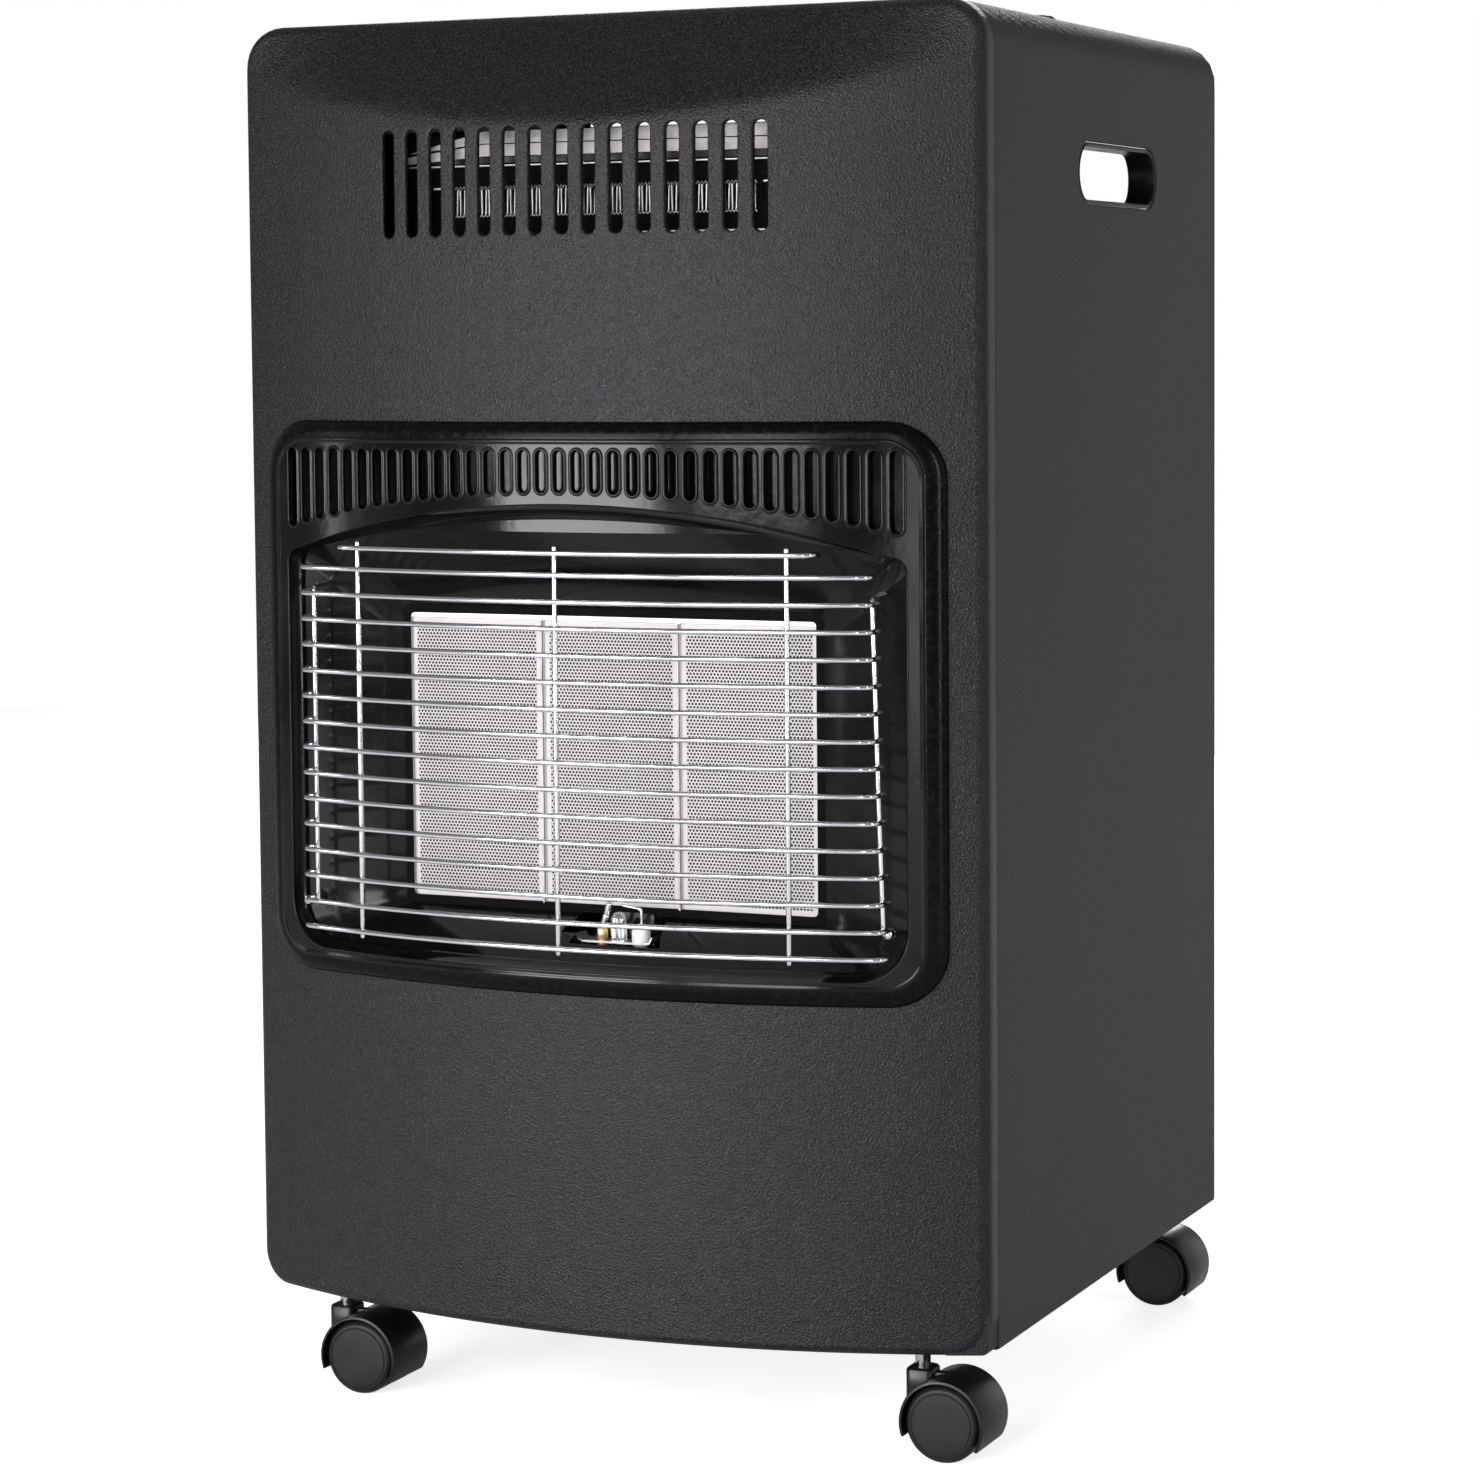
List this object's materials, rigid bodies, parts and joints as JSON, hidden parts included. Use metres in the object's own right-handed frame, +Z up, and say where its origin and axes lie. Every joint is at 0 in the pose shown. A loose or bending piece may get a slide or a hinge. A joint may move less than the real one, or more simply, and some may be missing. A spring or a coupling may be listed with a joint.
{
  "type": "portable gas cabinet heater",
  "caption": "Upright gas cabinet heater: bowed black steel front with an enamel bezel, ceramic burners behind a wire guard, a bottle compartment behind, on twin-wheel casters.",
  "frame": {"origin": "on the floor under the middle of the bounding box", "axes": "+X to the viewer's right, -Y out of the front with the burners, +Z up"},
  "size_m": [0.42, 0.4399, 0.7473],
  "materials": {
    "textured_black": "fine-textured matt black powder coat",
    "gloss_enamel": "glossy black vitreous enamel",
    "black_plastic": "moulded, satin",
    "burner_steel": "mill finish, heat-dulled",
    "ceramic": "unglazed, perforated",
    "white_ceramic": "white glaze",
    "chrome": "bright plated",
    "brass": "turned",
    "galvanised": "zinc-coated",
    "cast_alloy": "die cast",
    "red_plastic": "moulded, glossy",
    "copper": "drawn tube",
    "silicone": "smooth sleeve"
  },
  "bodies": {
    "cabinet": {"front_panel": "textured_black", "cabinet_wrap": "textured_black", "base_tray": "textured_black", "burner_bezel": "gloss_enamel", "reflector": "gloss_enamel", "handle_liner_left": "black_plastic", "handle_liner_right": "black_plastic", "control_well": "black_plastic", "piezo_body": "black_plastic", "burner_frame": "burner_steel", "burner_body_left": "burner_steel", "burner_body_centre": "burner_steel", "burner_body_right": "burner_steel", "plaque_left": "ceramic", "plaque_centre": "ceramic", "plaque_right": "ceramic", "electrode_insulator": "white_ceramic", "wire_guard": "chrome", "pilot_burner": "chrome", "electrode_wire": "chrome", "injector_left": "brass", "injector_centre": "brass", "injector_right": "brass", "thermocouple": "brass", "hose_inlet": "brass", "gas_manifold": "galvanised", "pilot_bracket": "galvanised", "compartment_shield": "galvanised", "heat_shield": "galvanised", "gas_valve": "cast_alloy", "supply_pipe": "copper", "pilot_pipe": "copper", "thermocouple_lead": "copper", "ignition_lead": "silicone", "caster_stem_front_left": "chrome", "caster_stem_front_right": "chrome", "caster_stem_rear_left": "chrome", "caster_stem_rear_right": "chrome"},
    "spindle": {"valve_spindle": "brass"},
    "knob": {"control_knob": "black_plastic"},
    "button": {"piezo_button": "red_plastic"},
    "cover": {"rear_cover": "textured_black"},
    "swivel_front_left": {"caster_hood_front_left": "black_plastic", "caster_axle_front_left": "chrome"},
    "wheel_front_left_fore": {"caster_wheel_front_left_fore": "black_plastic"},
    "wheel_front_left_aft": {"caster_wheel_front_left_aft": "black_plastic"},
    "swivel_front_right": {"caster_hood_front_right": "black_plastic", "caster_axle_front_right": "chrome"},
    "wheel_front_right_fore": {"caster_wheel_front_right_fore": "black_plastic"},
    "wheel_front_right_aft": {"caster_wheel_front_right_aft": "black_plastic"},
    "swivel_rear_left": {"caster_hood_rear_left": "black_plastic", "caster_axle_rear_left": "chrome"},
    "wheel_rear_left_fore": {"caster_wheel_rear_left_fore": "black_plastic"},
    "wheel_rear_left_aft": {"caster_wheel_rear_left_aft": "black_plastic"},
    "swivel_rear_right": {"caster_hood_rear_right": "black_plastic", "caster_axle_rear_right": "chrome"},
    "wheel_rear_right_fore": {"caster_wheel_rear_right_fore": "black_plastic"},
    "wheel_rear_right_aft": {"caster_wheel_rear_right_aft": "black_plastic"}
  },
  "joints": [
    {"name": "tap_turn", "type": "hinge", "parent": "cabinet", "child": "spindle", "pos_m": [0.124, 0.1384, 0.73], "axis": [0, 0, 1], "range_deg": [0, 210]},
    {"name": "knob_push", "type": "slide", "parent": "spindle", "child": "knob", "axis": [0, 0, -1], "range_m": [0, 0.005], "stiffness_N_per_m": 500, "springref_m": -0.002},
    {"name": "piezo_press", "type": "slide", "parent": "cabinet", "child": "button", "axis": [0, 0, -1], "range_m": [0, 0.005], "stiffness_N_per_m": 1500, "springref_m": -0.002},
    {"name": "cover_lift_off", "type": "slide", "parent": "cabinet", "child": "cover", "axis": [0, 1, 0], "range_m": [0, 0.08]},
    {"name": "swivel_front_left", "type": "hinge", "parent": "cabinet", "child": "swivel_front_left", "pos_m": [-0.168, -0.1436, 0.042], "axis": [0, 0, 1], "continuous": true},
    {"name": "roll_front_left_fore", "type": "hinge", "parent": "swivel_front_left", "child": "wheel_front_left_fore", "pos_m": [-0.1516, -0.1541, 0.02], "axis": [0, 1, 0], "continuous": true},
    {"name": "roll_front_left_aft", "type": "hinge", "parent": "swivel_front_left", "child": "wheel_front_left_aft", "pos_m": [-0.1516, -0.1331, 0.02], "axis": [0, 1, 0], "continuous": true},
    {"name": "swivel_front_right", "type": "hinge", "parent": "cabinet", "child": "swivel_front_right", "pos_m": [0.168, -0.1436, 0.042], "axis": [0, 0, 1], "continuous": true},
    {"name": "roll_front_right_fore", "type": "hinge", "parent": "swivel_front_right", "child": "wheel_front_right_fore", "pos_m": [0.1844, -0.1541, 0.02], "axis": [0, 1, 0], "continuous": true},
    {"name": "roll_front_right_aft", "type": "hinge", "parent": "swivel_front_right", "child": "wheel_front_right_aft", "pos_m": [0.1844, -0.1331, 0.02], "axis": [0, 1, 0], "continuous": true},
    {"name": "swivel_rear_left", "type": "hinge", "parent": "cabinet", "child": "swivel_rear_left", "pos_m": [-0.168, 0.1984, 0.042], "axis": [0, 0, 1], "continuous": true},
    {"name": "roll_rear_left_fore", "type": "hinge", "parent": "swivel_rear_left", "child": "wheel_rear_left_fore", "pos_m": [-0.1516, 0.1879, 0.02], "axis": [0, 1, 0], "continuous": true},
    {"name": "roll_rear_left_aft", "type": "hinge", "parent": "swivel_rear_left", "child": "wheel_rear_left_aft", "pos_m": [-0.1516, 0.2089, 0.02], "axis": [0, 1, 0], "continuous": true},
    {"name": "swivel_rear_right", "type": "hinge", "parent": "cabinet", "child": "swivel_rear_right", "pos_m": [0.168, 0.1984, 0.042], "axis": [0, 0, 1], "continuous": true},
    {"name": "roll_rear_right_fore", "type": "hinge", "parent": "swivel_rear_right", "child": "wheel_rear_right_fore", "pos_m": [0.1844, 0.1879, 0.02], "axis": [0, 1, 0], "continuous": true},
    {"name": "roll_rear_right_aft", "type": "hinge", "parent": "swivel_rear_right", "child": "wheel_rear_right_aft", "pos_m": [0.1844, 0.2089, 0.02], "axis": [0, 1, 0], "continuous": true}
  ]
}
